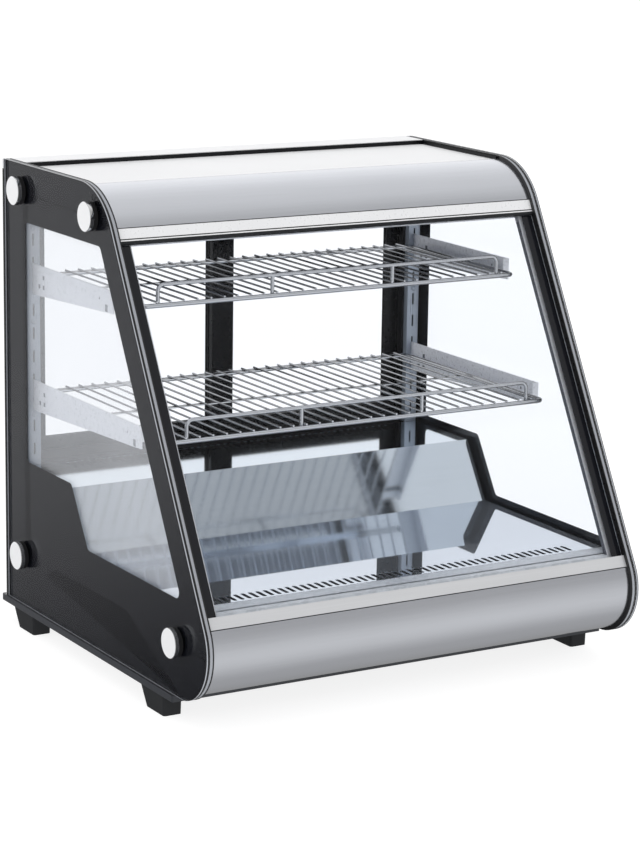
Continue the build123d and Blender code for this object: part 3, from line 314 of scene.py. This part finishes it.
def black_ceramic(name):
    """Screen printed enamel fired on glass: deep black with a fine even speckle"""
    finish = Finish(name)
    speckle = finish.noise(finish.place(), 1400.0, 1.0)
    tint = finish.blend(speckle.ramp(0.45, 0.7), (0.007, 0.0075, 0.0105), (0.010, 0.011, 0.015))
    return finish.solid(Base_Color=tint, Roughness=speckle.ramp(0.3, 0.7, 0.10, 0.14))


def perforated_bar(name):
    """Spacer bars: bright outwards, and inwards darkened by painted shade, with painted drying holes; the top
    front bar is clear
    """
    row_pitch = 0.0034
    column_pitch = 0.0026
    hole_row = 0.28
    hole_column = 0.26
    inward_face = 0.31306
    top_bar_end = 0.3129
    top_bar_foot = 0.59
    finish = Finish(name)
    across, depth_way, height = finish.axes(finish.place())
    lines = finish.noise(finish.place(scale=(900, 900, 60)), 1.0, 2.0)
    along = height * slope_cos + depth_way * slope_sin
    through = depth_way * slope_cos - height * slope_sin
    row = ((along / row_pitch).modulo(1.0) - 0.5).size()
    column = ((through / column_pitch).modulo(1.0) - 0.5).size()
    side = across.size()
    inward = side < inward_face
    pierced = inward * (row < hole_row) * (column < hole_column)
    hidden = (side < top_bar_end) * (height > top_bar_foot)
    sheen = finish.blend(lines.ramp(0.3, 0.7), (0.62, 0.63, 0.66), (0.74, 0.75, 0.78))
    # Painted shade darkens the inward faces of the bar
    shaded = finish.blend(inward * 0.88, sheen, (0.10, 0.11, 0.14))
    return finish.solid(
        Base_Color=finish.blend(pierced, shaded, (0.02, 0.02, 0.025)),
        Metallic=0.35,
        Roughness=lines.ramp(0.3, 0.7, 0.35, 0.5),
        Alpha=1 - hidden,
        Normal=finish.bump(lines, 0.000006),
    )


def two_tone_frame(name):
    """Rear frame: white powder coat outside and on top, black inside round the doors"""
    outer_face = 0.3055
    header_top = 0.672
    finish = Finish(name)
    depth_way, height = finish.axes(finish.place())[1:]
    inside = (depth_way < outer_face) * (height < header_top)
    skin = finish.noise(finish.place(), 260.0, 2.0)
    return finish.solid(
        Base_Color=finish.blend(inside, (0.80, 0.805, 0.82), (0.008, 0.008, 0.010)),
        Roughness=skin.ramp(0.3, 0.7, 0.32, 0.42),
        Specular_IOR_Level=0.25,
        Normal=finish.bump(skin, coat_peel, 0.5),
    )


def punched_bracket(name):
    """Zinc plated bracket; the small slots near both ends are colour only"""
    shelf_pitch = 0.170
    upper_set_back = 0.0848
    tip_slots = ((0.016, 0.008, 0.014, 0.010), (0.040, 0.003, 0.028, 0.003))
    rear_slots = ((0.214, 0.012), (0.214, 0.026), (0.228, 0.012))
    rear_slot = 0.006
    finish = Finish(name)
    depth_way, height = finish.axes(finish.place())[1:]
    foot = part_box("shelf_brackets")[0]
    rise = (height - foot[2]).modulo(shelf_pitch)
    from_tip = depth_way - foot[1] - upper_set_back * (height > foot[2] + shelf_pitch * 0.5)
    slots = 0
    for tip, length, low, tall in tip_slots:
        slots = slots + from_tip.between(tip, tip + length) * rise.between(low, low + tall)
    for near, low in rear_slots:
        slots = slots + depth_way.between(near, near + rear_slot) * rise.between(low, low + rear_slot)
    skin = finish.noise(finish.place(), 240.0, 2.0)
    tint = finish.blend(skin.ramp(0.35, 0.65), (0.84, 0.85, 0.88), (0.89, 0.90, 0.93))
    return finish.solid(
        Base_Color=finish.blend(slots, tint, (0.10, 0.11, 0.13)),
        Metallic=0.15,
        Roughness=skin.ramp(0.3, 0.7, 0.26, 0.34),
        Normal=finish.bump(skin, coat_peel, 0.5),
    )


def spangled(name):
    """Galvanised sheet with patches of light and dark zinc"""
    finish = Finish(name)
    cells = {"Vector": finish.place(), "Scale": 160.0}
    patch = finish.axes(finish.node("ShaderNodeTexVoronoi", {"feature": "F1"}, cells, "Color"))[0]
    return finish.solid(
        Base_Color=finish.blend(patch, (0.60, 0.63, 0.67), (0.76, 0.79, 0.83)),
        Metallic=0.3,
        Roughness=patch.ramp(0.0, 1.0, 0.3, 0.45),
    )


# The slope of the front, along the edge of the side glass in side view
slope_angle = math.radians(28.88)
slope_cos = math.cos(slope_angle)
slope_sin = math.sin(slope_angle)
slope_tan = math.tan(slope_angle)
slope_mark = (-0.0583, 0.6)
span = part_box("front_glass")[1][0]


def slope_y(height):
    """Where the sloping edge of the side glass lies at a height"""
    return slope_mark[0] + (height - slope_mark[1]) * slope_tan


def behind_slope(*points):
    """Side view points, each square behind the point of the slope at a height, by a depth"""
    return [(slope_y(level) + depth * slope_cos, level - depth * slope_sin) for level, depth in points]


finishes = {
    "clear_glass": clear_pane("clear_glass"),
    "black_print": black_ceramic("black_print"),
    "brushed_cover": brushed("brushed_cover", (0.795, 0.815, 0.868), 0.20, (6, 700, 700)),
    "satin_aluminium": brushed("satin_aluminium", (0.82, 0.83, 0.85), 0.36, (5, 900, 900), metallic=0.5),
    "spacer_aluminium": perforated_bar("spacer_aluminium"),
    "cap_chrome": turned_cap("cap_chrome"),
    "black_rubber": moulded("black_rubber", (0.014, 0.015, 0.017), 0.55),
    "black_plastic": moulded("black_plastic", (0.012, 0.012, 0.013), 0.42),
    "white_steel": coated("white_steel", (0.92, 0.925, 0.94), 0.38),
    "black_frame": coated("black_frame", (0.004, 0.0045, 0.006), 0.25, gloss=0.2),
    "polished_deck": brushed(
        "polished_deck", (0.76, 0.81, 0.88), 0.025, (5, 500, 500), metallic=0.86, depth=0.0000003
    ),
    "satin_riser": brushed("satin_riser", (0.82, 0.89, 0.95), 0.08, (5, 600, 600), depth=0.000001),
    "slotted_steel": brushed("slotted_steel", (0.42, 0.47, 0.54), 0.30, (500, 500, 8), metallic=0.5),
    "bracket_steel": punched_bracket("bracket_steel"),
    "shelf_chrome": plated("shelf_chrome", (0.95, 0.96, 0.98), 0.10),
    "galvanised_tray": coated("galvanised_tray", (0.030, 0.033, 0.040), 0.35),
    "foam_tub": moulded("foam_tub", (0.62, 0.62, 0.60), 0.6),
    "fin_aluminium": brushed("fin_aluminium", (0.68, 0.69, 0.70), 0.35, (900, 60, 60)),
    "black_shell": coated("black_shell", (0.012, 0.012, 0.013), 0.25),
    "motor_steel": coated("motor_steel", (0.16, 0.165, 0.17), 0.4, metallic=0.5),
    "display_window": moulded("display_window", (0.03, 0.004, 0.004), 0.1),
    "lamp_lens": moulded("lamp_lens", (0.85, 0.86, 0.87), 0.3),
}
outer_pane = sealed_pane("outer_side_pane", inner=0.3416, outer=0.3456, highlight_line=(0.3429, 0.3445))
# The inner pane's haze is a painted reflection over the left pane
inner_pane = sealed_pane("inner_side_pane", inner=0.3336, outer=0.3376, highlight_line=(0.3362, 0.3376), haze=0.2)
channel_white = coated("channel_white", (0.86, 0.865, 0.88), 0.3, metallic=0.1)
spangled_zinc = spangled("spangled_zinc")

# Nodes whose finish differs from the one of their slot
own_finish = {
    "left_side_glass": outer_pane,
    "right_side_glass": outer_pane,
    "side_inner_glass": inner_pane,
    "edge_trims": coated("edge_trim_black", (0.012, 0.012, 0.013), 0.3),
    "edge_seals": brushed("edge_seal_line", (0.44, 0.46, 0.50), 0.3, (300, 300, 300), metallic=0.3),
    "rear_frame": two_tone_frame("rear_frame_coat"),
    "service_panel": coated("service_panel_coat", (0.80, 0.805, 0.82), 0.38),
    # Painted shade: the ceiling liner is dark grey in place of the white of its slot
    "ceiling_liner": coated("ceiling_painted_shade", (0.22, 0.24, 0.28), 0.40),
    "upper_glass_channel": channel_white,
}
slot_of = {row["node"]: row["material_slot"] for row in frame["record"]["subparts"]}
for name, node in nodes.items():
    node.data.materials.clear()
    node.data.materials.append(own_finish.get(name) or finishes[slot_of[name]])

# Camera
look_at = Vector((0, 0.0225, 0.343))
distance = 3.95523
shift_right = 0.017665
shift_down = 0.026817
azimuth, elevation, roll = (math.radians(angle) for angle in (-30.704, 12.834, 0.903))
back = Vector(
    (math.sin(azimuth) * math.cos(elevation), -math.cos(azimuth) * math.cos(elevation), math.sin(elevation))
)
level = (-back).cross(Vector((0, 0, 1))).normalized()
upright = level.cross(-back)
right = math.cos(roll) * level + math.sin(roll) * upright
up = math.cos(roll) * upright - math.sin(roll) * level
camera = bpy.data.objects.new("camera", bpy.data.cameras.new("camera"))
camera.data.lens = 116.545
camera.data.sensor_width = 36
camera.data.clip_start = 0.1
camera.data.clip_end = 60
camera.matrix_world = Matrix.Translation(
    look_at + back * distance + right * shift_right - up * shift_down
) @ Matrix((right, up, back)).transposed().to_4x4()
scene.collection.objects.link(camera)
scene.camera = camera


def shown(name, shape, finish):
    """An object with a finished shape and its finish"""
    mesh = bpy.data.meshes.new(name)
    shape.to_mesh(mesh)
    shape.free()
    mesh.materials.append(finish)
    made = bpy.data.objects.new(name, mesh)
    scene.collection.objects.link(made)
    return made


def lay(name, shape, finish, replaces=()):
    """A piece of the case, with the CAD nodes that it stands for"""
    bmesh.ops.recalc_face_normals(shape, faces=shape.faces)
    piece = shown(name, shape, finish)
    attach(piece, "case")
    if replaces:
        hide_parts(*replaces)


def extruded(profile, low, high):
    """A side view outline drawn across the case, from one X to another"""
    shape = bmesh.new()
    face = shape.faces.new([shape.verts.new((low, y, z)) for y, z in profile])
    grown = bmesh.ops.extrude_face_region(shape, geom=[face])
    moved = [item for item in grown["geom"] if isinstance(item, bmesh.types.BMVert)]
    bmesh.ops.translate(shape, verts=moved, vec=(high - low, 0, 0))
    return shape


def strip(foot, top, front, behind, low=-span, high=span):
    """A flat strip along the slope between two heights, from one depth to another"""
    return extruded(behind_slope((foot, behind), (foot, front), (top, front), (top, behind)), low, high)


def block(low, high):
    """A square block between two corners"""
    profile = [(low[1], low[2]), (high[1], low[2]), (high[1], high[2]), (low[1], high[2])]
    return extruded(profile, low[0], high[0])


def joined(shapes):
    """Several shapes in one"""
    whole = bmesh.new()
    for shape in shapes:
        part = bpy.data.meshes.new("part")
        shape.to_mesh(part)
        shape.free()
        whole.from_mesh(part)
        bpy.data.meshes.remove(part)
    return whole


# Depths behind the slope: faces of the trims, the channels behind them, and the panes
face_depth = 0.00455
channel_depth = 0.00495
pane_front = 0.0104
pane_back = 0.0264

# A hair's breadth keeps one face clear of another
hair = 0.0001
on_pane = pane_front - hair

# Heights on the slope where the trims begin and end, from the nose cover up to the brow
lip_foot = 0.1446
lip_top = 0.1466
sill_foot = 0.1478
sill_lap = 0.1604
sill_top = 0.1624
border_foot = 0.1626
border_top = 0.6137
gasket_foot = 0.6139
bead_foot = 0.6174
gasket_lap = 0.6176
bead_top = 0.6189
gasket_top = 0.6203
channel_foot = 0.6204
channel_top = 0.6332
seal_top = 0.6343

# Channel faces over and under the front glass, with a black strip of painted shadow in the gap beside each
# cover
upper_face = strip(channel_foot, channel_top, face_depth, channel_depth)
lay("upper_channel_face", upper_face, channel_white)
sill_face = extruded(
    behind_slope(
        (sill_foot, channel_depth),
        (sill_foot, face_depth),
        (sill_top, face_depth),
        (sill_top, on_pane),
        (sill_lap, on_pane),
        (sill_lap, channel_depth),
    ),
    -span,
    span,
)
lay("lower_channel_face", sill_face, finishes["satin_aluminium"])
nose_lip = strip(lip_foot, lip_top, face_depth, channel_depth)
lay("nose_cover_lip", nose_lip, finishes["brushed_cover"])
# Painted shadow: thin black strips fill the gaps beside the covers
shadow_gap_strips = [
    strip(foot, top, face_depth + hair, channel_depth)
    for foot, top in ((lip_top, sill_foot), (channel_top, seal_top))
]
lay("channel_shadow_gaps", joined(shadow_gap_strips), finishes["black_rubber"])

# Gasket under the upper channel: black lips with a bright line between them
gasket = extruded(
    behind_slope(
        (gasket_foot, face_depth),
        (gasket_top, face_depth),
        (gasket_top, channel_depth),
        (gasket_lap, channel_depth),
        (gasket_lap, on_pane),
        (gasket_foot, on_pane),
    ),
    -span,
    span,
)
lay("upper_gasket", gasket, finishes["black_rubber"], ["glass_gasket"])
bead = strip(bead_foot, bead_top, face_depth - 2 * hair, face_depth)
lay("gasket_bead", bead, channel_white)

# Black border down both sides of the front glass
border_width = 0.0167
borders = [
    strip(border_foot, border_top, pane_front - 2 * hair, pane_front, low, low + border_width)
    for low in (-span, span - border_width)
]
lay("front_border", joined(borders), finishes["black_print"], ["front_glass_print"])

# Front lip of the deck and the foot bar between the panes
deck_top = 0.16
deck_lip_under = 0.1588
pane_gap = 0.0004
deck_lap = 0.0004
deck_lip_front = slope_y(deck_top) + (pane_back + pane_gap) / slope_cos
deck_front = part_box("deck")[0][1]
deck_lip = block((-span, deck_lip_front, deck_lip_under), (span, deck_front + deck_lap, deck_top))
lay("deck_lip", deck_lip, spangled_zinc)
bar_end = 0.3128
bar_foot = 0.1590
bar_front_top = 0.1668
bar_back_top = 0.1706
bar_front = 0.0146
bar_back = 0.0222
bar_outline = behind_slope(
    (bar_foot, bar_front), (bar_front_top, bar_front), (bar_back_top, bar_back), (bar_foot, bar_back)
)
lay("pane_foot_bar", extruded(bar_outline, -bar_end, bar_end), spangled_zinc)

# Raised black rim behind and beside the top panel, and the white sheet behind the rim
rim_low, rim_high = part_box("top_panel_rim")
rim_width = 0.003
back_rim_top = 0.6853
left_rim_top = 0.6822
right_rim_top = 0.6840
back_rim = block(
    (rim_low[0], rim_high[1] - rim_width, rim_low[2]), (rim_high[0], rim_high[1], back_rim_top)
)
left_rim = block((rim_low[0], rim_low[1], rim_low[2]), (rim_low[0] + rim_width, rim_high[1], left_rim_top))
right_rim = block(
    (rim_high[0] - rim_width, rim_low[1], rim_low[2]), (rim_high[0], rim_high[1], right_rim_top)
)
rim = joined([back_rim, left_rim, right_rim])
lay("raised_rim", rim, finishes["black_frame"], ["top_panel_rim"])
frame_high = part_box("rear_frame")[1]
sheet_gap = 0.0003
sheet_top = 0.682
rear_sheet = block((-span, rim_high[1] + sheet_gap, frame_high[2]), (span, frame_high[1], sheet_top))
lay("rear_top_sheet", rear_sheet, finishes["white_steel"])


def card(name, corners, finish):
    """A flat stage card"""
    shape = bmesh.new()
    shape.faces.new([shape.verts.new(corner) for corner in corners])
    made = shown(name, shape, finish)
    return made


# Pale floor, left out of reflections
reach = 14
floor_glow = 0.84
floor_finish = Finish("floor")
floor_shade = floor_finish.noise(floor_finish.place(), 0.8, 2.0).ramp(0.3, 0.7)
floor_white = floor_finish.solid(
    Base_Color=floor_finish.blend(floor_shade, (0.29, 0.29, 0.29), (0.31, 0.31, 0.31)),
    Roughness=0.9,
    Specular_IOR_Level=0.0,
    Emission_Color=(1, 1, 1, 1),
    Emission_Strength=floor_glow,
)
floor_corners = [(-reach, -reach, 0), (reach, -reach, 0), (reach, reach, 0), (-reach, reach, 0)]
floor = card("floor", floor_corners, floor_white)
floor.visible_glossy = False

# White card beside the case, which only shows in reflections
card_finish = Finish("white_card")
card_shade = card_finish.noise(card_finish.place(), 3.0, 2.0).ramp(0.3, 0.7)
card_white = card_finish.solid(
    Base_Color=(0.0, 0.0, 0.0, 1),
    Roughness=0.9,
    Specular_IOR_Level=0.0,
    Emission_Color=card_finish.blend(card_shade, (0.70, 0.70, 0.70), (0.76, 0.76, 0.76)),
    Emission_Strength=1.0,
)
card_x = 0.46
card_foot = 0.28
card_top = 0.64
card_back = 0.14
card_front_foot = -0.34
card_front_top = -0.20
card_corners = [
    (card_x, card_front_foot, card_foot),
    (card_x, card_back, card_foot),
    (card_x, card_back, card_top),
    (card_x, card_front_top, card_top),
]
side_card = card("side_card", card_corners, card_white)
side_card.visible_camera = False
side_card.visible_diffuse = False
side_card.visible_shadow = False

# Studio surroundings, which reflections see in bands and everything else sees plain
scene.world = bpy.data.worlds.new("studio")
studio = Finish("studio", scene.world)
side_way, depth_way, height_way = studio.axes(studio.node("ShaderNodeTexCoord", None, None, "Generated"))
turn = studio.node("ShaderNodeMath", {"operation": "ARCTAN2"}, {0: height_way, 1: 0 - depth_way})
turn = turn / math.tau + 0.5


def bands(*levels):
    """A smooth ring of light: how bright it is at a few angles, 0 ahead, 90 overhead and 180 behind"""
    stops = [(angle / 360 + 0.5, (level,) * 3) for angle, level in levels]
    return studio.node("ShaderNodeValToRGB", {"stops": stops}, {"Fac": turn})


# White wall behind, a soft box overhead, a low strip in front and a dim floor
back_wall = 1.0
soft_box = 0.7
front_strip = 0.65
front_dim = 0.4
floor_dim = 0.4
dark_corner = 0.3
around = bands(
    (-180, back_wall),
    (-150, dark_corner),
    (-90, floor_dim),
    (-30, front_strip),
    (35, front_dim),
    (90, soft_box),
    (160, back_wall),
)
# Towards the left a grey wall stands over a black flag
grey_wall = 0.5
black_flag = 0.05
left_rear = bands((-180, grey_wall), (-166, grey_wall), (-158, black_flag), (0, front_dim), (90, soft_box))
mirrored = studio.blend((0 - side_way).ramp(0.1, 0.3), around, left_rear)
camera_ray = studio.node("ShaderNodeLightPath", None, None, "Is Camera Ray")
glossy_ray = studio.node("ShaderNodeLightPath", None, None, "Is Glossy Ray")
plain = studio.blend(camera_ray, (1.0, 1.0, 1.0), (1.1, 1.1, 1.1))
colour = studio.blend(glossy_ray, plain, mirrored)
studio.show(studio.node("ShaderNodeBackground", None, {"Color": colour, "Strength": 1.0}))

scene.view_settings.view_transform = "Standard"
scene.cycles.transparent_max_bounces = 40
scene.cycles.max_bounces = 16
scene.cycles.glossy_bounces = 8
scene.cycles.sample_clamp_indirect = 4.0
